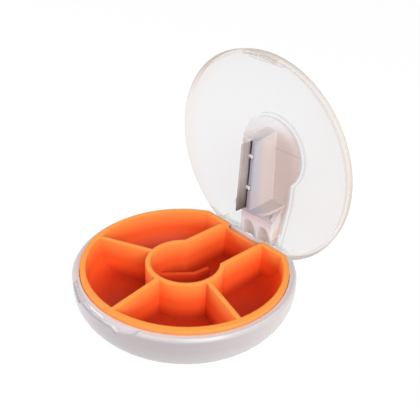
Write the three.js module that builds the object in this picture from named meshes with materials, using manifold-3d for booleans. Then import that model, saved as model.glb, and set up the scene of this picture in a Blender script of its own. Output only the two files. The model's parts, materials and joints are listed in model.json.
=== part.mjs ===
// Round pill box with a cutter in its lid, modelled open.
// Millimetres, +Z up. The origin is the centre of the flat foot, +Y points to the hinge.
import * as THREE from "three";
import { mergeVertices } from "three/addons/utils/BufferGeometryUtils.js";
import Module from "manifold-3d";

const wasm = await Module();
wasm.setup();

// Driving dimensions
const baseRadius = 45.4;
const baseHeight = 18.8;
const footRadius = 34;
const outerBowlTop = 13;
const outerBowlPower = 1.75;
const innerBowlTop = 17;
const innerBowlPower = 2.9;
const innerFootInset = 4.8;
const shellWall = 3.2;
const shellFloor = 1.8;
const rimChamfer = 0.8;
const ledgeWidth = 0.4;
const ledgeDrop = 1.5;
const runningGap = 0.3;
const slidingFit = 0.25;
const cutMargin = 1;

const trayRise = 1.7;
const trayWall = 1.9;
const trayFloor = 1.8;
const trayChordWall = 2.2;
const chordInset = 6.9;
const wellRadius = 14.2;
const ringWall = 2.05;
const channelHalfWidth = 10.1;
const channelNotchDepth = 2.5;
const partitionThickness = 1.9;
const partitionAngles = [
  { atRing: 199, atRim: 203 },
  { atRing: -84, atRim: -82.4 },
  { atRing: -6.7, atRim: -12.5 },
];
const pillRestHeight = 4;
const pillRestThickness = 1.8;
const pillRestBend = { x: 4.3, y: 9.5 };
const pillRestTip = { x: 3.4, y: 16.8 };
const pillRestWallAngle = -12;

const chordWallThickness = 1.2;
const recessDepth = 11.3;
const hingeDrop = 2.6;
const hingeSetback = 1.5;
const openAngle = 87;
const pinRadius = 1;
const pinClearance = 0.1;
const knuckleRadius = 2.7;
const knuckleInner = 9.6;
const knuckleOuter = 19.4;
const knuckleWebThickness = 2.6;
const lugRadius = 1.9;
const lugLength = 3.5;
const pinEndInset = 0.4;

const lidOverhang = 0.6;
const lidHeight = 9.3;
const lidWall = 1.5;
const lidPower = 2.6;
const lidRimHeight = 1;
const plateauRise = 1.7;
const plateauMargin = 1.1;
const plateauWall = 0.9;
const neckMargin = 0.65;
const neckTaper = 1.9;
const plateauSlopeStart = 22;
const plateauSlopeEnd = 41;
const plateauTailDrop = 3.9;

const holderPlateThickness = 1.2;
const plateCreaseY = -2.5;
const plateFrontRise = 0.6;
const ribHalfThickness = 2.8;
const ribDepth = 13.1;
const ribFront = 10.4;
const ribEdgeRound = 1.4;
const ribEndLean = 1.2;
const cutterTilt = 4.3;
const endWallThickness = 1.4;
const endWallHalfWidth = 9.8;
const endWallCorner = 1.8;
const blockHalfWidth = 9;
const blockClearance = 1.1;
const blockTail = 3.1;
const gussetThickness = 2.4;
const gussetRun = 6;
const nicheRadius = 3.7;
const nicheRib = 1;
const nicheLength = 7.8;
const nicheDepth = 2.3;

const bladeThickness = 0.4;
const bladeLength = 30.8;
const bladeSeatMargin = 0.9;
const bladeHeight = 9.8;
const bladeReveal = 5.9;
const bladeBevel = 1.1;
const bladeGap = 0.3;
const stakeRadius = 0.9;
const stakePositions = [-3.4, 11];
const stakeHeadLength = 1.1;

const catchHalfWidth = 9;
const scoopHalfWidth = 20;
const scoopDepth = 4;
const scoopLobeDepth = 2.4;
const scoopLobeOffset = 11.5;
const scoopWall = 1.1;
const catchBeadRadius = 0.6;
const catchBeadHalfWidth = 4;
const catchBeadDrop = 1.5;
const tongueThickness = 1.3;
const gripLift = 2.2;
const gripDepth = 3;

const roundSteps = 72;
const smallRoundSteps = 24;
const bowlSteps = 9;

// Derived sizes
const trayTop = baseHeight + trayRise;
const bowlInnerRadius = baseRadius - shellWall;
const lipRadius = bowlInnerRadius + ledgeWidth;
const innerFootRadius = footRadius - innerFootInset;
const chordY = lipRadius - chordInset;
const trayRimRadius = bowlInnerRadius - slidingFit;
const trayLipRadius = trayRimRadius + ledgeWidth;
const trayChordY = chordY - slidingFit - runningGap / 2;
const trayInnerRadius = trayRimRadius - trayWall;
const trayInnerChordY = trayChordY - trayChordWall;
const lidRadius = baseRadius + lidOverhang;
const ringRadius = wellRadius + ringWall;
const channelOuterHalfWidth = channelHalfWidth + ringWall;
const trayBottom = shellFloor + runningGap;
const trayFloorTop = trayBottom + trayFloor;
const chordWallOuterY = chordY + chordWallThickness;
const recessFloorZ = baseHeight - recessDepth;
const hingeY = chordWallOuterY + hingeSetback;
const hingeZ = baseHeight - hingeDrop;
const pinBoreRadius = pinRadius + pinClearance;
const lidRimZ = baseHeight + runningGap;
const lidTopZ = lidRimZ + lidHeight;
const plateauTopZ = lidTopZ + plateauRise - runningGap;
const pocketTopZ = plateauTopZ - lidWall;
const holderTopZ = pocketTopZ - runningGap;
const holderPlateZ = holderTopZ - holderPlateThickness;
const keyholeRadius = ringRadius + plateauMargin;
const keyholeHalfWidth = channelOuterHalfWidth + neckMargin;
const pocketInset = plateauWall;
const holderInset = plateauWall + runningGap;
const ribBottomZ = holderPlateZ - ribDepth;
const ribLength = bladeLength + bladeSeatMargin;
const ribBackY = ribLength - ribFront;
const ribMiddleY = ribBackY - ribLength / 2;
const holderTailY = hingeY + blockTail;
const blockFrontY = ribBackY + endWallThickness + gussetRun;
const bladeEdgeZ = ribBottomZ - bladeReveal;
const bladeTopZ = bladeEdgeZ + bladeHeight;
const bladeFrontY = -ribFront + runningGap;
const bladeBackY = bladeFrontY + bladeLength;
const slotHalfWidth = bladeThickness / 2 + bladeGap;
const tongueBottomZ = baseHeight - scoopLobeDepth + runningGap;
const gripTopZ = trayTop + runningGap + gripLift;
const gripFrontRadius = lidRadius - lidWall - gripDepth;

// A closed geometry becomes a solid: shared corners are merged, flat triangles dropped,
// and the faces are turned outwards where a turned profile left them facing in.
function solid(geometry) {
  const bare = geometry.index ? geometry.toNonIndexed() : geometry.clone();
  bare.deleteAttribute("normal");
  bare.deleteAttribute("uv");
  const merged = mergeVertices(bare, 1e-4);
  const position = merged.attributes.position;
  const index = merged.index.array;
  const corner = (i) => new THREE.Vector3().fromBufferAttribute(position, i);
  const triangles = [];
  let volume = 0;
  for (let i = 0; i < index.length; i += 3) {
    const [a, b, c] = [index[i], index[i + 1], index[i + 2]];
    if (a === b || b === c || c === a) continue;
    triangles.push([a, b, c]);
    volume += corner(a).dot(corner(b).cross(corner(c)));
  }
  const outward = volume < 0 ? triangles.map(([a, b, c]) => [a, c, b]) : triangles;
  const mesh = new wasm.Mesh({
    numProp: 3,
    vertProperties: new Float32Array(position.array),
    triVerts: new Uint32Array(outward.flat()),
  });
  return new wasm.Manifold(mesh);
}

function join(...parts) {
  return parts.reduce((whole, part) => whole.add(part));
}

function cut(whole, ...parts) {
  return parts.reduce((rest, part) => rest.subtract(part), whole);
}

// Solid of revolution about Z from points of radius and height
function revolved(profile, steps = roundSteps) {
  const points = profile.map(([radius, z]) => new THREE.Vector2(Math.max(radius, 0), z));
  return solid(new THREE.LatheGeometry(points, steps).rotateX(Math.PI / 2));
}

// Upright prism between two heights over an outline in plan
function prism(shape, bottom, top) {
  const geometry = new THREE.ExtrudeGeometry(shape, {
    depth: top - bottom,
    bevelEnabled: false,
    curveSegments: smallRoundSteps,
  });
  return solid(geometry.translate(0, 0, bottom));
}

// Prism along Y: the outline is drawn in X and Z
function prismAlongY(shape, front, back, tilt = 0) {
  const geometry = new THREE.ExtrudeGeometry(shape, {
    depth: back - front,
    bevelEnabled: false,
    curveSegments: smallRoundSteps,
  });
  geometry.rotateX(Math.PI / 2).translate(0, back, 0);
  return solid(tilt ? tilted(geometry) : geometry);
}

// The cutter leans about the middle of its rib, its hinge end nearer to the tray
function tilted(geometry) {
  const lean = -THREE.MathUtils.degToRad(cutterTilt);
  return geometry
    .translate(0, -ribMiddleY, -ribBottomZ)
    .rotateX(lean)
    .translate(0, ribMiddleY, ribBottomZ);
}

// Prism along X: the outline is drawn in Y and Z
function prismAlongX(shape, left, right) {
  const geometry = new THREE.ExtrudeGeometry(shape, {
    depth: right - left,
    bevelEnabled: false,
    curveSegments: smallRoundSteps,
  });
  return solid(geometry.rotateX(Math.PI / 2).rotateZ(Math.PI / 2).translate(left, 0, 0));
}

function boxGeometry(x0, x1, y0, y1, z0, z1) {
  const geometry = new THREE.BoxGeometry(x1 - x0, y1 - y0, z1 - z0);
  return geometry.translate((x0 + x1) / 2, (y0 + y1) / 2, (z0 + z1) / 2);
}

function block(...limits) {
  return solid(boxGeometry(...limits));
}

function tiltedBlock(...limits) {
  return solid(tilted(boxGeometry(...limits)));
}

function rodGeometry(radius, x0, x1, y, z) {
  const geometry = new THREE.CylinderGeometry(radius, radius, x1 - x0, smallRoundSteps);
  return geometry.rotateZ(Math.PI / 2).translate((x0 + x1) / 2, y, z);
}

function rodAlongX(...sizes) {
  return solid(rodGeometry(...sizes));
}

function tiltedRod(...sizes) {
  return solid(tilted(rodGeometry(...sizes)));
}

function outline(points) {
  return new THREE.Shape(points.map(([x, y]) => new THREE.Vector2(x, y)));
}

function disc(radius) {
  return new THREE.Shape().absarc(0, 0, radius, 0, 2 * Math.PI);
}

// Keyhole in plan: a round head about the centre and a neck that runs back to neckEnd
function keyhole(radius, halfWidth, neckEnd, endHalfWidth = halfWidth) {
  const neckAngle = Math.acos(halfWidth / radius);
  const shape = new THREE.Shape();
  shape.absarc(0, 0, radius, neckAngle, Math.PI - neckAngle, true);
  shape.lineTo(-endHalfWidth, neckEnd);
  shape.lineTo(endHalfWidth, neckEnd);
  return shape;
}

// The lid's keyhole, inset for the pocket inside it and for the holder inside that
function lidKeyhole(inset, end) {
  return keyhole(
    keyholeRadius - inset,
    keyholeHalfWidth - inset,
    end,
    keyholeHalfWidth - inset - (neckTaper * end) / lidRadius,
  );
}

// Bowl side from the foot up, steep at the rim and rounded at the foot
function bowlSide(foot, rim, bottom, top, power) {
  const points = [];
  for (let i = 0; i <= bowlSteps; i += 1) {
    const angle = (i / bowlSteps) * (Math.PI / 2);
    const radius = foot + (rim - foot) * Math.sin(angle) ** (2 / power);
    const z = top - (top - bottom) * Math.cos(angle) ** (2 / power);
    points.push([radius, z]);
  }
  return points;
}

// Inner bowl with a wider ring from lipZ up, as the shell's cavity and the tray have
function bowl(foot, rim, bottom, top, lip = rim, lipZ = top) {
  const side = bowlSide(foot, rim, bottom, innerBowlTop, innerBowlPower);
  const ring = lip > rim ? [[rim, lipZ], [lip, lipZ]] : [];
  return revolved([[0, bottom], ...side, ...ring, [lip, top], [0, top]]);
}

function shellCavity() {
  const top = baseHeight + cutMargin;
  return bowl(innerFootRadius, bowlInnerRadius, shellFloor, top, lipRadius, baseHeight - ledgeDrop);
}

// The thumb scoop at the front of the shell, seen from the front
function scoopOutline() {
  const top = baseHeight + cutMargin;
  return outline([
    [-scoopHalfWidth, top],
    [-scoopHalfWidth, baseHeight - rimChamfer],
    [-scoopLobeOffset, baseHeight - scoopDepth],
    [-catchHalfWidth, baseHeight - scoopLobeDepth],
    [catchHalfWidth, baseHeight - scoopLobeDepth],
    [scoopLobeOffset, baseHeight - scoopDepth],
    [scoopHalfWidth, baseHeight - rimChamfer],
    [scoopHalfWidth, top],
  ]);
}

function baseShell() {
  const outside = revolved([
    [0, 0],
    ...bowlSide(footRadius, baseRadius, 0, outerBowlTop, outerBowlPower),
    [baseRadius, baseHeight - rimChamfer],
    [baseRadius - rimChamfer, baseHeight],
    [0, baseHeight],
  ]);
  const wide = baseRadius + cutMargin;
  const cavity = shellCavity();
  const well = cavity.intersect(block(-wide, wide, -wide, chordY, 0, baseHeight + wide));
  const underRecess = cavity.intersect(
    block(-wide, wide, chordY - cutMargin, wide, 0, recessFloorZ - shellFloor),
  );
  const recess = block(-wide, wide, chordWallOuterY, wide, recessFloorZ, baseHeight + wide);
  const scoopInside = prism(disc(lipRadius + scoopWall), 0, baseHeight + 2 * cutMargin);
  const scoop = prismAlongY(scoopOutline(), -wide, 0).subtract(scoopInside);
  const bead = rodAlongX(
    catchBeadRadius,
    -catchBeadHalfWidth,
    catchBeadHalfWidth,
    -(lipRadius + scoopWall - runningGap),
    baseHeight - catchBeadDrop,
  );
  const windows = [-1, 1].map((side) => {
    const inner = side * (knuckleInner - runningGap);
    const outer = side * (knuckleOuter + runningGap);
    return block(
      Math.min(inner, outer),
      Math.max(inner, outer),
      chordY - cutMargin,
      chordWallOuterY + cutMargin,
      hingeZ - knuckleRadius - slidingFit,
      baseHeight + wide,
    );
  });
  const lugs = [-1, 1].map((side) => {
    const inner = side * (knuckleInner - slidingFit - lugLength);
    const outer = side * (knuckleInner - slidingFit);
    const left = Math.min(inner, outer);
    const right = Math.max(inner, outer);
    const barrel = rodAlongX(lugRadius, left, right, hingeY, hingeZ);
    const web = block(left, right, chordWallOuterY - runningGap, hingeY + lugRadius, recessFloorZ, hingeZ);
    return barrel.add(web.subtract(block(left, right, hingeY, hingeY + lugRadius, 0, hingeZ - lugRadius)));
  });
  const bores = [-1, 1].map((side) => pinRod(side, pinBoreRadius, cutMargin));
  return cut(join(cut(outside, well, underRecess, recess, scoop), bead, ...lugs), ...windows, ...bores);
}

// One hinge pin, or with a larger radius the hole that it runs in
function pinRod(side, radius, extra = 0) {
  const inner = side * (knuckleInner - slidingFit - lugLength + pinEndInset - extra);
  const outer = side * (knuckleOuter - pinEndInset + extra);
  return rodAlongX(radius, Math.min(inner, outer), Math.max(inner, outer), hingeY, hingeZ);
}

// One partition in plan, from inside the ring wall to inside the rim
function partition({ atRing, atRim }) {
  const point = (radius, degrees) => {
    const angle = THREE.MathUtils.degToRad(degrees);
    return new THREE.Vector2(radius * Math.cos(angle), radius * Math.sin(angle));
  };
  const start = point(ringRadius - ringWall / 2, atRing);
  const end = point(trayInnerRadius + trayWall / 2, atRim);
  const side = end.clone().sub(start).normalize().multiplyScalar(partitionThickness / 2);
  const across = new THREE.Vector2(-side.y, side.x);
  return new THREE.Shape([
    start.clone().add(across),
    start.clone().sub(across),
    end.clone().sub(across),
    end.clone().add(across),
  ]);
}

// One arm of the pill rest on the floor of the well, from the ring wall to its free tip
function pillRestArm(side) {
  const wallAngle = THREE.MathUtils.degToRad(pillRestWallAngle);
  const wallRadius = wellRadius + pillRestThickness / 4;
  const start = new THREE.Vector2(wallRadius * Math.cos(wallAngle), wallRadius * Math.sin(wallAngle));
  const bend = new THREE.Vector2(pillRestBend.x, pillRestBend.y);
  const tip = new THREE.Vector2(pillRestTip.x, pillRestTip.y);
  const halfWall = pillRestThickness / 2;
  const offset = (from, to) => {
    const along = to.clone().sub(from).normalize().multiplyScalar(halfWall);
    return new THREE.Vector2(-along.y, along.x);
  };
  const first = offset(start, bend);
  const second = offset(bend, tip);
  const middle = first.clone().add(second).normalize().multiplyScalar(halfWall);
  const points = [
    start.clone().add(first),
    bend.clone().add(middle),
    tip.clone().add(second),
    tip.clone().sub(second),
    bend.clone().sub(middle),
    start.clone().sub(first),
  ];
  const shape = new THREE.Shape(points.map((point) => new THREE.Vector2(side * point.x, point.y)));
  return prism(shape, trayFloorTop - cutMargin, trayFloorTop + pillRestHeight);
}

function tray() {
  const wide = baseRadius + cutMargin;
  const above = trayTop + cutMargin;
  const trayFootRadius = innerFootRadius - slidingFit;
  const trayLipZ = baseHeight - ledgeDrop + runningGap;
  const outside = bowl(trayFootRadius, trayRimRadius, trayBottom, trayTop, trayLipRadius, trayLipZ)
    .intersect(block(-wide, wide, -wide, trayChordY, 0, above));
  const inside = bowl(trayFootRadius - trayWall / 2, trayInnerRadius, trayFloorTop, above)
    .intersect(block(-wide, wide, -wide, trayInnerChordY, 0, above));
  const keyholeWall = prism(keyhole(ringRadius, channelOuterHalfWidth, trayChordY), 0, trayTop);
  const walls = partitionAngles.map((angles) => prism(partition(angles), 0, trayTop));
  const well = prism(keyhole(wellRadius, channelHalfWidth, trayInnerChordY), trayFloorTop, above);
  const notch = block(
    -channelHalfWidth,
    channelHalfWidth,
    trayInnerChordY - cutMargin,
    trayChordY + cutMargin,
    trayTop - channelNotchDepth,
    above,
  );
  const compartments = cut(inside, keyholeWall, ...walls);
  const hollowed = cut(outside, compartments, well, notch);
  return join(hollowed, pillRestArm(-1), pillRestArm(1));
}

// Lid dome: a short upright rim, then a curve that flattens towards the middle
function dome(radius, rimZ, topZ, wallTop) {
  const points = [[0, rimZ], [radius, rimZ], [radius, wallTop]];
  for (let i = 1; i <= bowlSteps; i += 1) {
    const angle = (i / bowlSteps) * (Math.PI / 2);
    const r = radius * Math.cos(angle) ** (2 / lidPower);
    const z = wallTop + (topZ - wallTop) * Math.sin(angle) ** (2 / lidPower);
    points.push([i === bowlSteps ? 0 : r, z]);
  }
  return revolved(points);
}

// What lies under the plateau's top, level in front, falling to the hinge and then down to the rim
function underPlateau(topZ, backRadius) {
  const wide = lidRadius + cutMargin;
  const side = outline([
    [-wide, 0],
    [backRadius, 0],
    [backRadius, lidRimZ + lidRimHeight],
    [(backRadius + plateauSlopeEnd) / 2, (lidRimZ + topZ) / 2],
    [plateauSlopeEnd, topZ - plateauTailDrop],
    [plateauSlopeStart, topZ],
    [-wide, topZ],
  ]);
  return prismAlongX(side, -wide, wide);
}

function lidShell() {
  const wide = lidRadius + cutMargin;
  const outerDome = dome(lidRadius, lidRimZ, lidTopZ, lidRimZ + lidRimHeight);
  const innerDome = dome(
    lidRadius - lidWall,
    lidRimZ - cutMargin,
    lidTopZ - lidWall,
    lidRimZ + lidRimHeight - lidWall / 2,
  );
  const inLid = prism(disc(lidRadius - runningGap), lidRimZ, plateauTopZ + cutMargin);
  const plateau = prism(lidKeyhole(0, wide), lidRimZ + lidRimHeight, plateauTopZ)
    .intersect(underPlateau(plateauTopZ, lidRadius))
    .intersect(inLid);
  const pocket = prism(lidKeyhole(pocketInset, wide), lidRimZ - cutMargin, pocketTopZ)
    .intersect(underPlateau(pocketTopZ, lidRadius - lidWall))
    .intersect(prism(disc(lidRadius - lidWall), 0, plateauTopZ));
  const tongueHalfWidth = catchHalfWidth - runningGap;
  const tongueTopZ = lidRimZ + lidRimHeight;
  const tongue = prism(disc(lidRadius), tongueBottomZ, tongueTopZ)
    .intersect(block(-tongueHalfWidth, tongueHalfWidth, -wide, 0, 0, lidTopZ))
    .subtract(prism(disc(lidRadius - tongueThickness), 0, lidTopZ));
  const grip = outerDome.intersect(
    block(-tongueHalfWidth, tongueHalfWidth, -wide, -gripFrontRadius, trayTop + runningGap, gripTopZ),
  );
  const knuckles = [-1, 1].map((side) => {
    const left = Math.min(side * knuckleInner, side * knuckleOuter);
    const right = Math.max(side * knuckleInner, side * knuckleOuter);
    const barrel = rodAlongX(knuckleRadius, left, right, hingeY, hingeZ);
    const halfWeb = knuckleWebThickness / 2;
    const web = block(left, right, hingeY - halfWeb, hingeY + halfWeb, hingeZ, lidTopZ);
    const riser = web.intersect(join(outerDome, block(left, right, 0, wide, 0, lidRimZ)));
    return cut(join(barrel, riser), pinRod(side, pinBoreRadius, cutMargin));
  });
  return join(cut(join(outerDome, plateau), innerDome, pocket), tongue, grip, ...knuckles);
}

// White holder that fills the keyhole of the lid and carries the blade on its rib
function cutterHolder() {
  const overlap = runningGap;
  const plateFrontZ = holderPlateZ + plateFrontRise;
  const plate = prism(lidKeyhole(holderInset, holderTailY), 0, holderTopZ).intersect(prismAlongX(outline([
    [-keyholeRadius, plateFrontZ],
    [plateCreaseY, holderPlateZ],
    [plateauSlopeStart, holderPlateZ],
    [holderTailY, holderPlateZ - plateauTailDrop],
    [holderTailY, holderTopZ],
    [-keyholeRadius, holderTopZ],
  ]), -keyholeRadius, keyholeRadius));
  const roundedEdge = new THREE.Path();
  roundedEdge.absarc(
    ribHalfThickness - ribEdgeRound, ribBottomZ + ribEdgeRound, ribEdgeRound, -Math.PI / 2, 0,
  );
  const ribShape = outline([
    [-ribHalfThickness, ribBottomZ],
    ...roundedEdge.getPoints(bowlSteps).map((point) => [point.x, point.y]),
    [ribHalfThickness, holderTopZ + ribDepth],
    [-ribHalfThickness, holderTopZ + ribDepth],
  ]);
  const ribEnds = outline([
    [-ribFront, bladeEdgeZ],
    [ribBackY + endWallThickness / 2, bladeEdgeZ],
    [ribBackY + endWallThickness / 2, holderTopZ],
    [-ribFront - ribEndLean, holderTopZ],
    [-ribFront, ribBottomZ],
  ]);
  const tiltedRib = prismAlongY(ribShape, -ribFront - ribDepth, ribBackY + ribDepth, cutterTilt);
  const rib = tiltedRib.intersect(prismAlongX(ribEnds, -keyholeRadius, keyholeRadius));
  const endWallBottomZ = ribBottomZ - (ribLength / 2) * Math.tan(THREE.MathUtils.degToRad(cutterTilt));
  const endWallShape = new THREE.Shape();
  endWallShape.moveTo(-endWallHalfWidth, holderTopZ);
  endWallShape.lineTo(-endWallHalfWidth, holderPlateZ);
  endWallShape.bezierCurveTo(
    -endWallHalfWidth, ribBottomZ,
    endWallCorner - endWallHalfWidth, endWallBottomZ,
    0, endWallBottomZ,
  );
  endWallShape.bezierCurveTo(
    endWallHalfWidth - endWallCorner, endWallBottomZ,
    endWallHalfWidth, ribBottomZ,
    endWallHalfWidth, holderPlateZ,
  );
  endWallShape.lineTo(endWallHalfWidth, holderTopZ);
  const endWall = prismAlongY(endWallShape, ribBackY, ribBackY + endWallThickness);
  const blockBottom = baseHeight + blockClearance;
  const hingeBlock = block(
    -blockHalfWidth, blockHalfWidth, blockFrontY, holderTailY, blockBottom, holderPlateZ + overlap,
  );
  const gussetShape = outline([
    [ribBackY, holderPlateZ + overlap],
    [ribBackY + endWallThickness, holderPlateZ - overlap],
    [blockFrontY + gussetThickness, blockBottom],
    [blockFrontY + 2 * gussetThickness, blockBottom],
    [blockFrontY + 2 * gussetThickness, holderPlateZ + overlap],
  ]);
  const gussets = [-1, 1].map((side) => {
    const outer = side * blockHalfWidth;
    const inner = side * (blockHalfWidth - gussetThickness);
    return prismAlongX(gussetShape, Math.min(inner, outer), Math.max(inner, outer));
  });
  const nicheLean = Math.atan2(nicheDepth, nicheLength);
  const niches = [-1, 1].map((side) => solid(
    new THREE.CylinderGeometry(nicheRadius, nicheRadius, 3 * nicheLength, smallRoundSteps)
      .translate(0, nicheLength / 2, -nicheRadius)
      .rotateX(nicheLean)
      .translate(side * (nicheRadius + nicheRib), holderTailY - nicheLength, blockBottom),
  ));
  const knuckleRooms = [-1, 1].map((side) => {
    const inner = side * (knuckleInner - runningGap);
    const outer = side * (knuckleOuter + runningGap);
    return block(
      Math.min(inner, outer), Math.max(inner, outer), hingeY - knuckleRadius - runningGap, lidRadius, 0, lidTopZ,
    );
  });
  const bladeSlot = tiltedBlock(
    -ribHalfThickness - cutMargin,
    slotHalfWidth,
    -ribFront - ribHalfThickness,
    bladeBackY + bladeGap,
    bladeEdgeZ - cutMargin,
    bladeTopZ + bladeGap,
  );
  const notches = stakePositions.map((y) => tiltedRod(
    stakeRadius + bladeGap, 0, slotHalfWidth + stakeHeadLength + bladeGap, y, ribBottomZ,
  ));
  const underPocket = underPlateau(holderTopZ, lidRadius - lidWall - runningGap);
  const whole = join(plate, rib, endWall, hingeBlock, ...gussets).intersect(underPocket);
  return cut(whole, bladeSlot, ...niches, ...knuckleRooms, ...notches);
}

// Steel blade with a ground edge and a hole for each stake
function blade() {
  const half = bladeThickness / 2;
  const section = outline([
    [0, bladeEdgeZ],
    [half, bladeEdgeZ + bladeBevel],
    [half, bladeTopZ],
    [-half, bladeTopZ],
    [-half, bladeEdgeZ + bladeBevel],
  ]);
  const strip = prismAlongY(section, bladeFrontY, bladeBackY, cutterTilt);
  const holes = stakePositions.map((y) => tiltedRod(
    stakeRadius + bladeGap, -bladeThickness, bladeThickness, y, ribBottomZ,
  ));
  return cut(strip, ...holes);
}

// Strip that closes the blade slot, with the two stakes that pass through the blade
function bladeClamp() {
  const strip = tiltedBlock(
    -ribHalfThickness, -slotHalfWidth, bladeFrontY, bladeBackY - runningGap, ribBottomZ, bladeTopZ - runningGap,
  );
  const stakes = stakePositions.map((y) => tiltedRod(
    stakeRadius, -ribHalfThickness + runningGap, slotHalfWidth + stakeHeadLength, y, ribBottomZ,
  ));
  return join(strip, ...stakes);
}

// Materials
const whitePlastic = new THREE.MeshStandardMaterial({ color: 0xf1eeee, roughness: 0.35, metalness: 0 });
const orangeRubber = new THREE.MeshStandardMaterial({ color: 0xfb5a1e, roughness: 0.5, metalness: 0 });
const clearPlastic = new THREE.MeshStandardMaterial({
  color: 0xeef0f0, roughness: 0.08, metalness: 0, transparent: true, opacity: 0.35,
});
const holderPlastic = new THREE.MeshStandardMaterial({ color: 0xf3ecea, roughness: 0.4, metalness: 0 });
const steel = new THREE.MeshStandardMaterial({ color: 0xa9a9ab, roughness: 0.25, metalness: 1 });

function named(name, body, material) {
  const { vertProperties, triVerts } = body.getMesh();
  const geometry = new THREE.BufferGeometry();
  geometry.setAttribute("position", new THREE.BufferAttribute(vertProperties, 3));
  geometry.setIndex(new THREE.BufferAttribute(triVerts, 1));
  geometry.computeVertexNormals();
  const mesh = new THREE.Mesh(geometry, material);
  mesh.name = name;
  return mesh;
}

// The lid's pieces are made shut and turned about the hinge line into the open pose
const lidPieces = new THREE.Group();
lidPieces.position.set(0, -hingeY, -hingeZ);
lidPieces.add(
  named("lid_shell", lidShell(), clearPlastic),
  named("cutter_holder", cutterHolder(), holderPlastic),
  named("blade", blade(), steel),
  named("blade_clamp", bladeClamp(), holderPlastic),
);
const lidTurn = new THREE.Group();
lidTurn.position.set(0, hingeY, hingeZ);
lidTurn.rotation.x = -THREE.MathUtils.degToRad(openAngle);
lidTurn.add(lidPieces);

const pillBox = new THREE.Group();
pillBox.add(
  named("base_shell", baseShell(), whitePlastic),
  named("tray", tray(), orangeRubber),
  named("hinge_pin_left", pinRod(-1, pinRadius), steel),
  named("hinge_pin_right", pinRod(1, pinRadius), steel),
  lidTurn,
);

export default pillBox;
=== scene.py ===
import json
import math
import bmesh
import bpy
from mathutils import Matrix, Vector


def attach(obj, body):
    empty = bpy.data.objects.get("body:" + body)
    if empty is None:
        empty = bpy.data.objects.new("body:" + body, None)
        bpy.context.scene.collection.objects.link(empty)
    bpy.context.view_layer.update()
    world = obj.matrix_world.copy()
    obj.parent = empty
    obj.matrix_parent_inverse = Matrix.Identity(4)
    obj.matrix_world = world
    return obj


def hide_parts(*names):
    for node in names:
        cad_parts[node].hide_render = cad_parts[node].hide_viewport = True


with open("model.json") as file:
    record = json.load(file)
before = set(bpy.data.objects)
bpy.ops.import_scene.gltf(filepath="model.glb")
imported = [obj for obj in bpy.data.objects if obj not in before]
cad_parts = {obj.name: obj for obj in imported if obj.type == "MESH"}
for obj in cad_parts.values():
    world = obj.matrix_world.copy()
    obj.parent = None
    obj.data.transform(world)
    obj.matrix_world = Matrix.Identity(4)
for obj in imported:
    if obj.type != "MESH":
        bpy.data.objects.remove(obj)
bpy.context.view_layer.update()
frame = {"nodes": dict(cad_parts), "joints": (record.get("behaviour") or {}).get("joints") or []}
print("frame loaded")

mm = 0.001
lidHinge = frame["joints"][0]
hingePoint = Vector(lidHinge["pos_m"])
shutTurn = math.radians(lidHinge["range_deg"][1])

# What is kept of a place: its part along the floor, or its part across the hinge pins
alongFloor = (1, 1, 0)
acrossPins = (0, 1, 1)

# The place of the colour among the results of a Mix node
colourResult = 2

# The sRGB curve, straight near black and a power above it
curve = {"full": 255, "knee": 0.04045, "slope": 12.92, "lift": 0.055, "power": 2.4}


def srgb(code):
    linear = []
    for start in (1, 3, 5):
        value = int(code[start:start + 2], 16) / curve["full"]
        if value <= curve["knee"]:
            linear.append(value / curve["slope"])
        else:
            linear.append(((value + curve["lift"]) / (1 + curve["lift"])) ** curve["power"])
    return (*linear, 1)


def addNode(tree, kind, settings=None, links=None):
    node = tree.nodes.new(kind)
    for name, value in (settings or {}).items():
        if isinstance(name, int) or name in node.inputs:
            node.inputs[name].default_value = value
        else:
            setattr(node, name, value)
    for name, socket in (links or {}).items():
        tree.links.new(socket, node.inputs[name])
    return node


def newMaterial(name):
    material = bpy.data.materials.new(name)
    material.use_nodes = True
    tree = material.node_tree
    tree.nodes.clear()
    return material, tree


def finishMaterial(tree, surface):
    output = addNode(tree, "ShaderNodeOutputMaterial")
    tree.links.new(surface, output.inputs["Surface"])


# A colour that changes with height
# Each step is a start height, an end height and the colour above it, with heights in metres
def byHeight(tree, height, foot, steps):
    below = None
    for start, end, above in steps:
        rise = addNode(tree, "ShaderNodeMapRange", {"From Min": start, "From Max": end},
                       {"Value": height})
        colour = addNode(tree, "ShaderNodeMix",
                         {"data_type": "RGBA", "A": srgb(foot), "B": srgb(above)},
                         {"Factor": rise.outputs["Result"]})
        if below is not None:
            tree.links.new(below, colour.inputs["A"])
        below = colour.outputs[colourResult]
    return below


# Moulded ABS from a polished tool: a soft white gloss with very faint unevenness
# It carries painted light and shade: darker towards its foot, paler in the band under its rim and
# in the thumb scoop, and a painted reflection of a white room pales it towards its outline
shellLook = {"foot": "#aca4a4", "steps": [(0.017, 0.0186, "#cac4c5")],
             "edge": "#d0c9c8", "edgeBlend": 0.5, "edgeStart": 0.28, "edgeEnd": 0.78,
             "edgeLow": -0.001, "edgeHigh": 0.013,
             "scoop": "#dad4d4", "scoopInner": 0.0441, "scoopOuter": 0.0448,
             "scoopLow": 0.0115, "scoopHigh": 0.0135,
             "smoothest": 0.19, "roughest": 0.26, "ior": 1.53,
             "waveMm": 14, "waveDetail": 1.0, "waveStrength": 0.4, "waveDepth": 0.00006}


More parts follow.
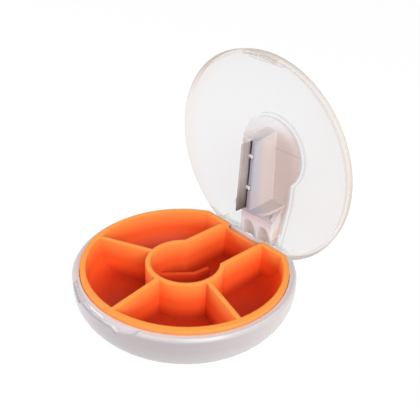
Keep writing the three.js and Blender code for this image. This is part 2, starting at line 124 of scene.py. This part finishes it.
def mouldedWhite():
    material, tree = newMaterial("polishedWhiteAbs")
    place = addNode(tree, "ShaderNodeTexCoord")
    parts = addNode(tree, "ShaderNodeSeparateXYZ", {}, {"Vector": place.outputs["Object"]})
    wave = addNode(tree, "ShaderNodeTexNoise",
                   {"Scale": 1 / (shellLook["waveMm"] * mm), "Detail": shellLook["waveDetail"]},
                   {"Vector": place.outputs["Object"]})
    rough = addNode(tree, "ShaderNodeMapRange",
                    {"To Min": shellLook["smoothest"], "To Max": shellLook["roughest"]},
                    {"Value": wave.outputs["Fac"]})
    bump = addNode(tree, "ShaderNodeBump",
                   {"Strength": shellLook["waveStrength"], "Distance": shellLook["waveDepth"]},
                   {"Height": wave.outputs["Fac"]})
    # Painted shade and light: darker towards the foot, paler in the band under the rim
    wall = byHeight(tree, parts.outputs["Z"], shellLook["foot"], shellLook["steps"])
    # Painted light: the thumb scoop near the rim, found by radius and height, is painted paler
    flat = addNode(tree, "ShaderNodeVectorMath", {"operation": "MULTIPLY", 1: alongFloor},
                   {0: place.outputs["Object"]})
    radius = addNode(tree, "ShaderNodeVectorMath", {"operation": "LENGTH"},
                     {0: flat.outputs["Vector"]})
    within = addNode(tree, "ShaderNodeMapRange",
                     {"From Min": shellLook["scoopInner"], "From Max": shellLook["scoopOuter"],
                      "To Min": 1.0, "To Max": 0.0},
                     {"Value": radius.outputs["Value"]})
    above = addNode(tree, "ShaderNodeMapRange",
                    {"From Min": shellLook["scoopLow"], "From Max": shellLook["scoopHigh"]},
                    {"Value": parts.outputs["Z"]})
    scoop = addNode(tree, "ShaderNodeMath", {"operation": "MULTIPLY"},
                    {0: within.outputs["Result"], 1: above.outputs["Result"]})
    colour = addNode(tree, "ShaderNodeMix",
                     {"data_type": "RGBA", "B": srgb(shellLook["scoop"])},
                     {"Factor": scoop.outputs[0], "A": wall})
    # Painted reflection: the outline is paled, faded out towards the bottom of the bowl
    slant = addNode(tree, "ShaderNodeLayerWeight", {"Blend": shellLook["edgeBlend"]})
    slanted = addNode(tree, "ShaderNodeMapRange",
                      {"From Min": shellLook["edgeStart"], "From Max": shellLook["edgeEnd"]},
                      {"Value": slant.outputs["Facing"]})
    raised = addNode(tree, "ShaderNodeMapRange",
                     {"From Min": shellLook["edgeLow"], "From Max": shellLook["edgeHigh"]},
                     {"Value": parts.outputs["Z"]})
    edge = addNode(tree, "ShaderNodeMath", {"operation": "MULTIPLY"},
                   {0: slanted.outputs["Result"], 1: raised.outputs["Result"]})
    paintedReflection = addNode(tree, "ShaderNodeMix",
                    {"data_type": "RGBA", "B": srgb(shellLook["edge"])},
                    {"Factor": edge.outputs[0], "A": colour.outputs[colourResult]})
    surface = addNode(tree, "ShaderNodeBsdfPrincipled", {"IOR": shellLook["ior"]},
                      {"Base Color": paintedReflection.outputs[colourResult],
                       "Roughness": rough.outputs["Result"], "Normal": bump.outputs["Normal"]})
    finishMaterial(tree, surface.outputs[0])
    return material


# Thermoplastic rubber straight from the tool: a soft sheen over a fine grain
# Painted light and shade: its orange is darker and redder with depth, where less light reaches and
# it has bounced off more orange, and paler at the top edges, where more light falls
trayLook = {"foot": "#b23414",
            "steps": [(0.0027, 0.0044, "#d4461e"), (0.0044, 0.0095, "#fe6c30"),
                      (0.0125, 0.019, "#ff964a"), (0.0195, 0.0212, "#ffa23c")],
            "roughness": 0.5, "sheen": 0.3, "ior": 1.5, "roundMm": 0.9, "roundSamples": 6,
            "grainMm": 0.5, "grainDetail": 2.0, "grainStrength": 0.25, "grainDepth": 0.00002}


def softOrange():
    material, tree = newMaterial("orangeThermoplasticRubber")
    place = addNode(tree, "ShaderNodeTexCoord")
    parts = addNode(tree, "ShaderNodeSeparateXYZ", {}, {"Vector": place.outputs["Object"]})
    # Painted shade and light: darker and redder with depth, paler at the top edges
    colour = byHeight(tree, parts.outputs["Z"], trayLook["foot"], trayLook["steps"])
    grain = addNode(tree, "ShaderNodeTexNoise",
                    {"Scale": 1 / (trayLook["grainMm"] * mm), "Detail": trayLook["grainDetail"]},
                    {"Vector": place.outputs["Object"]})
    rounded = addNode(tree, "ShaderNodeBevel",
                      {"samples": trayLook["roundSamples"], "Radius": trayLook["roundMm"] * mm})
    bump = addNode(tree, "ShaderNodeBump",
                   {"Strength": trayLook["grainStrength"], "Distance": trayLook["grainDepth"]},
                   {"Height": grain.outputs["Fac"], "Normal": rounded.outputs["Normal"]})
    surface = addNode(tree, "ShaderNodeBsdfPrincipled",
                      {"Roughness": trayLook["roughness"], "Specular IOR Level": trayLook["sheen"],
                       "IOR": trayLook["ior"]},
                      {"Base Color": colour, "Normal": bump.outputs["Normal"]})
    finishMaterial(tree, surface.outputs[0])
    return material


# Clear polystyrene, polished on both sides: almost no body colour where it is seen flat on
# Seen edge on it grows less clear and takes a warm grey of painted refraction, the turned rim
# shows a sandy band of painted refraction, and the knuckles round the pins have a faint white
# painted highlight
lidLook = {"tint": "#cfd4d6", "edgePaintedRefraction": "#a98f78", "rimPaintedRefraction": "#d8bb98", "hubPaintedHighlight": "#fbf8f6",
           "faceOpacity": 0.14, "edgeOpacity": 0.7, "edgeBlend": 0.35, "edgeStart": 0.55,
           "rimOpacity": 0.75, "rimStart": 0.0434, "rimEnd": 0.0455, "bandStart": 0.2,
           "bandEnd": 0.6, "hubOpacity": 0.4, "hubInner": 0.0038, "hubOuter": 0.0052,
           "roughness": 0.04, "ior": 1.58}


# The rim is found by its distance from the middle of the shut box, and the knuckles by their
# distance from the pins
def clearLid():
    material, tree = newMaterial("clearPolystyrene")
    place = addNode(tree, "ShaderNodeTexCoord")
    shut = Matrix.Rotation(shutTurn, 3, "X")
    toShut = addNode(tree, "ShaderNodeMapping",
                     {"Rotation": (shutTurn, 0, 0), "Location": hingePoint - shut @ hingePoint},
                     {"Vector": place.outputs["Object"]})
    flat = addNode(tree, "ShaderNodeVectorMath", {"operation": "MULTIPLY", 1: alongFloor},
                   {0: toShut.outputs["Vector"]})
    radius = addNode(tree, "ShaderNodeVectorMath", {"operation": "LENGTH"},
                     {0: flat.outputs["Vector"]})
    # Painted refraction: the turned rim's sandy band
    rim = addNode(tree, "ShaderNodeMapRange",
                  {"interpolation_type": "SMOOTHSTEP", "From Min": lidLook["rimStart"],
                   "From Max": lidLook["rimEnd"]},
                  {"Value": radius.outputs["Value"]})
    # Painted refraction: seen edge on, the lid grows less clear and warm grey
    edge = addNode(tree, "ShaderNodeLayerWeight", {"Blend": lidLook["edgeBlend"]})
    turned = addNode(tree, "ShaderNodeMapRange",
                     {"From Min": lidLook["edgeStart"], "To Min": lidLook["faceOpacity"],
                      "To Max": lidLook["edgeOpacity"]},
                     {"Value": edge.outputs["Facing"]})
    slanted = addNode(tree, "ShaderNodeMapRange",
                      {"From Min": lidLook["bandStart"], "From Max": lidLook["bandEnd"],
                       "To Max": lidLook["rimOpacity"]},
                      {"Value": edge.outputs["Facing"]})
    banded = addNode(tree, "ShaderNodeMath", {"operation": "MULTIPLY"},
                     {0: rim.outputs["Result"], 1: slanted.outputs["Result"]})
    wall = addNode(tree, "ShaderNodeMath", {"operation": "MAXIMUM"},
                   {0: turned.outputs["Result"], 1: banded.outputs[0]})
    fromPin = addNode(tree, "ShaderNodeVectorMath", {"operation": "SUBTRACT", 1: hingePoint},
                      {0: place.outputs["Object"]})
    crossing = addNode(tree, "ShaderNodeVectorMath", {"operation": "MULTIPLY", 1: acrossPins},
                       {0: fromPin.outputs["Vector"]})
    pinDistance = addNode(tree, "ShaderNodeVectorMath", {"operation": "LENGTH"},
                          {0: crossing.outputs["Vector"]})
    # Painted highlight: a faint white haze on the knuckles round the pins
    hub = addNode(tree, "ShaderNodeMapRange",
                  {"From Min": lidLook["hubInner"], "From Max": lidLook["hubOuter"],
                   "To Min": lidLook["hubOpacity"], "To Max": 0.0},
                  {"Value": pinDistance.outputs["Value"]})
    opacity = addNode(tree, "ShaderNodeMath", {"operation": "MAXIMUM"},
                      {0: wall.outputs[0], 1: hub.outputs["Result"]})
    pale = addNode(tree, "ShaderNodeMix",
                   {"data_type": "RGBA", "A": srgb(lidLook["tint"]),
                    "B": srgb(lidLook["rimPaintedRefraction"])},
                   {"Factor": rim.outputs["Result"]})
    colour = addNode(tree, "ShaderNodeMix",
                     {"data_type": "RGBA", "B": srgb(lidLook["edgePaintedRefraction"])},
                     {"Factor": edge.outputs["Facing"], "A": pale.outputs[colourResult]})
    hubColour = addNode(tree, "ShaderNodeMix",
                        {"data_type": "RGBA", "B": srgb(lidLook["hubPaintedHighlight"])},
                        {"Factor": hub.outputs["Result"], "A": colour.outputs[colourResult]})
    body = addNode(tree, "ShaderNodeBsdfPrincipled",
                   {"Roughness": lidLook["roughness"], "IOR": lidLook["ior"]},
                   {"Base Color": hubColour.outputs[colourResult]})
    clear = addNode(tree, "ShaderNodeBsdfTransparent")
    mixed = addNode(tree, "ShaderNodeMixShader", {},
                    {0: opacity.outputs[0], 1: clear.outputs[0], 2: body.outputs[0]})
    finishMaterial(tree, mixed.outputs[0])
    return material


# Natural polypropylene: milky white, semi-gloss, and light glows a little way into it
# Painted light and shade: it is whiter on the hinge block, cooler at the front edge beside the
# blade with a painted reflection, warmer and darker in the niches of the hinge block with painted
# bounce light and shade, darker with painted shade on the rib and along the crease that the mould
# leaves, and whiter and almost clear at the crown, up and to the left, with painted light from the
# left
holderLook = {"foot": "#fefcfc", "steps": [(0.022, 0.033, "#e8dad5"), (0.064, 0.072, "#fcfafc")],
              "front": "#c9cbd6", "frontStart": 0.0342, "frontEnd": 0.0412,
              "niche": "#f6d8cc", "nicheStart": 0.0421, "nicheEnd": 0.0444,
              "blockStart": 0.0205, "blockEnd": 0.0245,
              "creaseShadeHeight": 0.0588, "creaseShadeWidth": 0.0007, "creaseShadeTone": 0.84,
              "ribPaintedShade": 0.82, "plateLean": 0.04, "plateStart": 0.0488, "plateEnd": 0.0491,
              "inside": "#fbf8f8", "insideHead": "#ffffff",
              "headStart": 0.061, "headEnd": 0.07, "headSlant": -0.55,
              "through": 0.18, "throughBlock": 0.42, "throughHead": 0.7, "crownPaintedLight": 0.7,
              "smoothest": 0.27, "roughest": 0.38, "ior": 1.49, "flowMm": 6, "flowDetail": 2.0}


def milkyPlastic():
    material, tree = newMaterial("milkyPolypropylene")
    place = addNode(tree, "ShaderNodeTexCoord")
    parts = addNode(tree, "ShaderNodeSeparateXYZ", {}, {"Vector": place.outputs["Object"]})
    flow = addNode(tree, "ShaderNodeTexNoise",
                   {"Scale": 1 / (holderLook["flowMm"] * mm), "Detail": holderLook["flowDetail"]},
                   {"Vector": place.outputs["Object"]})
    rough = addNode(tree, "ShaderNodeMapRange",
                    {"To Min": holderLook["smoothest"], "To Max": holderLook["roughest"]},
                    {"Value": flow.outputs["Fac"]})
    # Painted light: whiter on the hinge block and towards the crown
    tone = byHeight(tree, parts.outputs["Z"], holderLook["foot"], holderLook["steps"])
    # Painted reflection: cooler and bluish at the front edge beside the blade
    away = addNode(tree, "ShaderNodeMapRange",
                   {"From Min": holderLook["frontStart"], "From Max": holderLook["frontEnd"]},
                   {"Value": parts.outputs["Y"]})
    shade = addNode(tree, "ShaderNodeMix",
                    {"data_type": "RGBA", "A": srgb(holderLook["front"])},
                    {"Factor": away.outputs["Result"], "B": tone})
    # Painted shade: a thin dark line along the crease, kept to the plate
    fromCreaseShade = addNode(tree, "ShaderNodeMath",
                       {"operation": "SUBTRACT", 1: holderLook["creaseShadeHeight"]},
                       {0: parts.outputs["Z"]})
    offCreaseShade = addNode(tree, "ShaderNodeMath", {"operation": "ABSOLUTE"}, {0: fromCreaseShade.outputs[0]})
    line = addNode(tree, "ShaderNodeMapRange",
                   {"From Max": holderLook["creaseShadeWidth"], "To Min": holderLook["creaseShadeTone"]},
                   {"Value": offCreaseShade.outputs[0]})
    leaned = addNode(tree, "ShaderNodeMath",
                     {"operation": "MULTIPLY_ADD", 1: holderLook["plateLean"]},
                     {0: parts.outputs["Z"], 2: parts.outputs["Y"]})
    offPlate = addNode(tree, "ShaderNodeMapRange",
                       {"From Min": holderLook["plateStart"], "From Max": holderLook["plateEnd"],
                        "To Min": 1.0, "To Max": 0.0},
                       {"Value": leaned.outputs[0]})
    crease = addNode(tree, "ShaderNodeMath", {"operation": "MAXIMUM"},
                     {0: line.outputs["Result"], 1: offPlate.outputs["Result"]})
    above = addNode(tree, "ShaderNodeMapRange",
                    {"From Min": holderLook["blockStart"], "From Max": holderLook["blockEnd"]},
                    {"Value": parts.outputs["Z"]})
    beneath = addNode(tree, "ShaderNodeMath", {"operation": "SUBTRACT", 0: 1.0},
                      {1: above.outputs["Result"]})
    # Painted bounce light and shade: warmer and darker in the niches of the hinge block
    sunk = addNode(tree, "ShaderNodeMapRange",
                   {"From Min": holderLook["nicheStart"], "From Max": holderLook["nicheEnd"]},
                   {"Value": parts.outputs["Y"]})
    inNiche = addNode(tree, "ShaderNodeMath", {"operation": "MULTIPLY"},
                      {0: beneath.outputs[0], 1: sunk.outputs["Result"]})
    nichePaintedBounce = addNode(tree, "ShaderNodeMix",
                     {"data_type": "RGBA", "B": srgb(holderLook["niche"])},
                     {"Factor": inNiche.outputs[0], "A": shade.outputs[colourResult]})
    # Painted shade: the rib above the hinge block is darkened
    onRib = addNode(tree, "ShaderNodeMath", {"operation": "MULTIPLY"},
                    {0: offPlate.outputs["Result"], 1: above.outputs["Result"]})
    ribShade = addNode(tree, "ShaderNodeMapRange",
                       {"To Min": 1.0, "To Max": holderLook["ribPaintedShade"]},
                       {"Value": onRib.outputs[0]})
    level = addNode(tree, "ShaderNodeMath", {"operation": "MULTIPLY"},
                    {0: crease.outputs[0], 1: ribShade.outputs["Result"]})
    body = addNode(tree, "ShaderNodeVectorMath", {"operation": "SCALE"},
                   {0: nichePaintedBounce.outputs[colourResult], "Scale": level.outputs[0]})
    surface = addNode(tree, "ShaderNodeBsdfPrincipled", {"IOR": holderLook["ior"]},
                      {"Base Color": body.outputs["Vector"],
                       "Roughness": rough.outputs["Result"]})
    # Painted light from the left: the crown, leaned towards the left, is whiter, more translucent
    # and almost clear
    slanted = addNode(tree, "ShaderNodeMath",
                      {"operation": "MULTIPLY_ADD", 1: holderLook["headSlant"]},
                      {0: parts.outputs["X"], 2: parts.outputs["Z"]})
    crown = addNode(tree, "ShaderNodeMapRange",
                    {"From Min": holderLook["headStart"], "From Max": holderLook["headEnd"]},
                    {"Value": slanted.outputs[0]})
    head = (holderLook["headStart"], holderLook["headEnd"], holderLook["insideHead"])
    glow = byHeight(tree, slanted.outputs[0], holderLook["inside"], [head])
    light = addNode(tree, "ShaderNodeBsdfTranslucent", {}, {"Color": glow})
    throughLow = addNode(tree, "ShaderNodeMapRange",
                         {"To Min": holderLook["throughBlock"], "To Max": holderLook["through"]},
                         {"Value": above.outputs["Result"]})
    throughHigh = addNode(tree, "ShaderNodeMath",
                          {"operation": "MULTIPLY", 1: holderLook["throughHead"]},
                          {0: crown.outputs["Result"]})
    through = addNode(tree, "ShaderNodeMath", {"operation": "MAXIMUM"},
                      {0: throughLow.outputs["Result"], 1: throughHigh.outputs[0]})
    milk = addNode(tree, "ShaderNodeMixShader", {},
                   {0: through.outputs[0], 1: surface.outputs[0], 2: light.outputs[0]})
    crownPaintedLight = addNode(tree, "ShaderNodeMath", {"operation": "MULTIPLY", 1: holderLook["crownPaintedLight"]},
                   {0: crown.outputs["Result"]})
    clear = addNode(tree, "ShaderNodeBsdfTransparent")
    shown = addNode(tree, "ShaderNodeMixShader", {},
                    {0: crownPaintedLight.outputs[0], 1: milk.outputs[0], 2: clear.outputs[0]})
    finishMaterial(tree, shown.outputs[0])
    return material


# Stainless blade strip, cold rolled and ground: fine scratches run along the strip
# Painted shade darkens it towards its lower end, which faces the box, and a painted contact shadow
# where it enters the slot
bladeLook = {"foot": "#887c79", "steps": [(0.034, 0.05, "#cec4c0")],
             "slot": "#695d59", "slotStart": 0.0332, "slotEnd": 0.0342, "roughness": 0.45,
             "scratchMm": 0.16, "scratchDetail": 3.0, "scratchStretch": 0.03,
             "scratchDark": 0.72, "scratchLow": 0.3, "scratchHigh": 0.6}


def groundSteel():
    material, tree = newMaterial("groundStainlessSteel")
    place = addNode(tree, "ShaderNodeTexCoord")
    parts = addNode(tree, "ShaderNodeSeparateXYZ", {}, {"Vector": place.outputs["Object"]})
    stretch = addNode(tree, "ShaderNodeMapping",
                      {"Scale": (1, 1, bladeLook["scratchStretch"])},
                      {"Vector": place.outputs["Object"]})
    scratch = addNode(tree, "ShaderNodeTexNoise",
                      {"Scale": 1 / (bladeLook["scratchMm"] * mm),
                       "Detail": bladeLook["scratchDetail"]},
                      {"Vector": stretch.outputs["Vector"]})
    # Painted shade: darker towards the lower end, which faces the box
    tone = byHeight(tree, parts.outputs["Z"], bladeLook["foot"], bladeLook["steps"])
    streak = addNode(tree, "ShaderNodeMapRange",
                     {"From Min": bladeLook["scratchLow"], "From Max": bladeLook["scratchHigh"],
                      "To Min": bladeLook["scratchDark"]},
                     {"Value": scratch.outputs["Fac"]})
    worn = addNode(tree, "ShaderNodeVectorMath", {"operation": "SCALE"},
                   {0: tone, "Scale": streak.outputs["Result"]})
    # Painted contact shadow where the blade enters the slot
    slotShadowMask = addNode(tree, "ShaderNodeMapRange",
                    {"From Min": bladeLook["slotStart"], "From Max": bladeLook["slotEnd"]},
                    {"Value": parts.outputs["Y"]})
    colour = addNode(tree, "ShaderNodeMix",
                     {"data_type": "RGBA", "B": srgb(bladeLook["slot"])},
                     {"Factor": slotShadowMask.outputs["Result"], "A": worn.outputs["Vector"]})
    surface = addNode(tree, "ShaderNodeBsdfPrincipled",
                      {"Metallic": 1.0, "Roughness": bladeLook["roughness"]},
                      {"Base Color": colour.outputs[colourResult]})
    finishMaterial(tree, surface.outputs[0])
    return material


# Drawn steel pin: bright and smooth
pinLook = {"colour": "#cfccca", "roughness": 0.25}


def drawnSteel():
    material, tree = newMaterial("drawnSteelPin")
    surface = addNode(tree, "ShaderNodeBsdfPrincipled",
                      {"Metallic": 1.0, "Roughness": pinLook["roughness"],
                       "Base Color": srgb(pinLook["colour"])})
    finishMaterial(tree, surface.outputs[0])
    return material


whiteAbs = mouldedWhite()
orangeRubber = softOrange()
clearPlastic = clearLid()
milky = milkyPlastic()
bladeSteel = groundSteel()
pinSteel = drawnSteel()
print("materials made")


def solidOf(nodeName):
    return frame["nodes"][nodeName].data


# Limits for every piece: points this near are one, in millimetres, and in degrees the flattest
# bend that is kept and the least that counts as an edge
limits = {"merge": 0.002, "flattest": 1.5, "sharpest": 28}


# A moulded piece with its edges rounded: the solid is copied, its facets joined and its edges eased
# Inner corners take their own round, as a mould's core leaves them. Widths are in millimetres
def easedCopy(solid, pieceName, edges):
    mesh = bmesh.new()
    mesh.from_mesh(solid)
    bmesh.ops.remove_doubles(mesh, verts=mesh.verts, dist=limits["merge"] * mm)
    bmesh.ops.dissolve_limit(mesh, angle_limit=math.radians(limits["flattest"]),
                             verts=mesh.verts, edges=mesh.edges)
    for face in mesh.faces:
        face.smooth = True
    widest = max(edges["outer"], edges["inner"])
    weight = mesh.edges.layers.float.new("bevel_weight_edge")
    for edge in mesh.edges:
        turn = edge.calc_face_angle_signed(0)
        edge.smooth = abs(turn) < math.radians(limits["sharpest"])
        if not edge.smooth:
            width = edges["inner"] if turn < 0 else edges["outer"]
            edge[weight] = width / widest
    data = bpy.data.meshes.new(pieceName)
    mesh.to_mesh(data)
    mesh.free()
    piece = bpy.data.objects.new(pieceName, data)
    bpy.context.scene.collection.objects.link(piece)
    ease = piece.modifiers.new("easedEdges", "BEVEL")
    ease.width = widest * mm
    ease.segments = edges["segments"]
    ease.limit_method = "WEIGHT"
    ease.harden_normals = True
    return piece


def fit(piece, body, node, material):
    piece.data.materials.clear()
    piece.data.materials.append(material)
    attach(piece, body)
    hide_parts(node)


# The white bowl, with the tight edges of a polished tool
shellEdges = {"outer": 0.2, "inner": 0.2, "segments": 2}
baseShell = easedCopy(solidOf("base_shell"), "baseShell", shellEdges)
fit(baseShell, "base", "base_shell", whiteAbs)

# The soft liner, with full edges and rounder inner corners
trayEdges = {"outer": 0.45, "inner": 0.7, "segments": 3}
compartmentTray = easedCopy(solidOf("tray"), "compartmentTray", trayEdges)
fit(compartmentTray, "base", "tray", orangeRubber)

# The clear lid
domeEdges = {"outer": 0.25, "inner": 0.25, "segments": 2}
clearDome = easedCopy(solidOf("lid_shell"), "clearDome", domeEdges)
fit(clearDome, "lid", "lid_shell", clearPlastic)

# The milky holder: its hinge block has two round niches, left by the mould's core and given in
# millimetres, and its inner corners have a wide round
holderEdges = {"outer": 0.25, "inner": 1.2, "segments": 3}
niche = {"out": 4.5, "front": 42.0, "height": 15.5, "across": 4.1, "deep": 2.3, "tall": 6.7,
         "splits": 4}


def roundHollow(side):
    mesh = bmesh.new()
    centre = Vector((side * niche["out"], niche["front"], niche["height"])) * mm
    reach = Matrix.Diagonal((niche["across"] * mm, niche["deep"] * mm, niche["tall"] * mm, 1))
    bmesh.ops.create_icosphere(mesh, subdivisions=niche["splits"], radius=1,
                               matrix=Matrix.Translation(centre) @ reach)
    data = bpy.data.meshes.new("hollow")
    mesh.to_mesh(data)
    mesh.free()
    hollow = bpy.data.objects.new("hollow", data)
    bpy.context.scene.collection.objects.link(hollow)
    return hollow


# A solid with the hollows cut out of it, as a mesh of its own. The hollows are used up
def carved(solid, hollows):
    body = bpy.data.objects.new("carving", solid.copy())
    bpy.context.scene.collection.objects.link(body)
    for hollow in hollows:
        dig = body.modifiers.new("dig", "BOOLEAN")
        dig.operation = "DIFFERENCE"
        dig.solver = "EXACT"
        dig.object = hollow
    bpy.context.view_layer.update()
    evaluated = body.evaluated_get(bpy.context.evaluated_depsgraph_get())
    result = bpy.data.meshes.new_from_object(evaluated)
    for used in (body, *hollows):
        bpy.data.meshes.remove(used.data)
    return result


nichedSolid = carved(solidOf("cutter_holder"), [roundHollow(side) for side in (-1, 1)])
cutterHolder = easedCopy(nichedSolid, "cutterHolder", holderEdges)
bpy.data.meshes.remove(nichedSolid)
fit(cutterHolder, "lid", "cutter_holder", milky)

# The strip with the two studs, from the same white plastic as the bowl
clampEdges = {"outer": 0.2, "inner": 0.2, "segments": 2}
bladeClamp = easedCopy(solidOf("blade_clamp"), "bladeClamp", clampEdges)
fit(bladeClamp, "lid", "blade_clamp", whiteAbs)

# The steel pieces keep the solid's own crisp edges
steels = {"blade": bladeSteel, "hinge_pin_left": pinSteel, "hinge_pin_right": pinSteel}
for plain, metal in steels.items():
    frame["nodes"][plain].data.materials.clear()
    frame["nodes"][plain].data.materials.append(metal)
print("pieces fitted")

# The stage: a pale floor just under the box, in plain studio light
stage = {"floorSize": 3.0, "floorDrop": 0.05, "floor": "#d8d6d6", "shown": 0.95,
         "kept": "#4a4848", "white": "#ffffff", "worldStrength": 0.46, "backdropStrength": 1.0}

# A key lamp from the right, a low lamp along the right side, and a cooler fill from the left
lamps = {"keyLight": {"place": (0.6, -0.22, 0.38), "aim": (0, 0, 0.02),
                      "size": 0.4, "power": 3.85, "colour": "#ffffff"},
         "sideLight": {"place": (0.62, -0.02, 0.05), "aim": (0.03, -0.01, 0.01),
                       "size": 0.3, "power": 0.9, "colour": "#ffffff"},
         "fillLight": {"place": (-0.5, -0.38, 0.22), "aim": (0, 0, 0.02),
                       "size": 0.5, "power": 3.15, "colour": "#eef0ff"}}

# The camera at the photograph's angle: its place in metres, the directions of the picture, and
# its lens and sensor in millimetres
view = {"place": (0.160467, -0.146398, 0.173460), "right": (0.685883, 0.726524, 0.041568),
        "up": (-0.394422, 0.323140, 0.860239), "back": (0.611552, -0.606419, 0.508193),
        "lens": 55.714, "sensor": 36.0, "near": 0.01}


# White where the camera, a reflection or a clear piece shows it, plain everywhere else
def seenRays(tree):
    path = addNode(tree, "ShaderNodeLightPath")
    glossy = addNode(tree, "ShaderNodeMath", {"operation": "MAXIMUM"},
                     {0: path.outputs["Is Camera Ray"], 1: path.outputs["Is Glossy Ray"]})
    both = addNode(tree, "ShaderNodeMath", {"operation": "MAXIMUM"},
                   {0: glossy.outputs[0], 1: path.outputs["Is Transmission Ray"]})
    return both.outputs[0]


# The floor is shown near white, with what its darker coat keeps of the shadow
def makeFloor():
    mesh = bmesh.new()
    bmesh.ops.create_grid(mesh, x_segments=1, y_segments=1, size=stage["floorSize"])
    data = bpy.data.meshes.new("floor")
    mesh.to_mesh(data)
    mesh.free()
    floor = bpy.data.objects.new("floor", data)
    bpy.context.scene.collection.objects.link(floor)
    floor.location.z = -stage["floorDrop"] * mm
    material, tree = newMaterial("paleFloor")
    real = addNode(tree, "ShaderNodeBsdfDiffuse", {"Color": srgb(stage["floor"])})
    kept = addNode(tree, "ShaderNodeBsdfDiffuse", {"Color": srgb(stage["kept"])})
    glow = addNode(tree, "ShaderNodeEmission",
                   {"Color": srgb(stage["white"]), "Strength": stage["shown"]})
    seen = addNode(tree, "ShaderNodeAddShader", {}, {0: kept.outputs[0], 1: glow.outputs[0]})
    surface = addNode(tree, "ShaderNodeMixShader", {},
                      {0: seenRays(tree), 1: real.outputs[0], 2: seen.outputs[0]})
    finishMaterial(tree, surface.outputs[0])
    data.materials.append(material)


def makeWorld():
    world = bpy.data.worlds.new("studio")
    world.use_nodes = True
    tree = world.node_tree
    tree.nodes.clear()
    soft = addNode(tree, "ShaderNodeBackground",
                   {"Color": srgb(stage["white"]), "Strength": stage["worldStrength"]})
    white = addNode(tree, "ShaderNodeBackground",
                    {"Color": srgb(stage["white"]), "Strength": stage["backdropStrength"]})
    mixed = addNode(tree, "ShaderNodeMixShader", {},
                    {0: seenRays(tree), 1: soft.outputs[0], 2: white.outputs[0]})
    output = addNode(tree, "ShaderNodeOutputWorld")
    tree.links.new(mixed.outputs[0], output.inputs["Surface"])
    bpy.context.scene.world = world


def makeLamp(name, look):
    light = bpy.data.lights.new(name, "AREA")
    light.size = look["size"]
    light.energy = look["power"]
    light.color = srgb(look["colour"])[:3]
    lamp = bpy.data.objects.new(name, light)
    bpy.context.scene.collection.objects.link(lamp)
    lamp.location = look["place"]
    reach = Vector(look["aim"]) - Vector(look["place"])
    lamp.rotation_euler = reach.to_track_quat("-Z", "Y").to_euler()


def makeCamera():
    data = bpy.data.cameras.new("camera")
    data.lens = view["lens"]
    data.sensor_width = view["sensor"]
    data.clip_start = view["near"]
    camera = bpy.data.objects.new("camera", data)
    bpy.context.scene.collection.objects.link(camera)
    turn = Matrix((view["right"], view["up"], view["back"])).transposed()
    camera.matrix_world = Matrix.Translation(view["place"]) @ turn.to_4x4()
    bpy.context.scene.camera = camera


makeFloor()
makeWorld()
for lampName, lampLook in lamps.items():
    makeLamp(lampName, lampLook)
makeCamera()
bpy.context.scene.view_settings.view_transform = "Standard"
print("stage set")
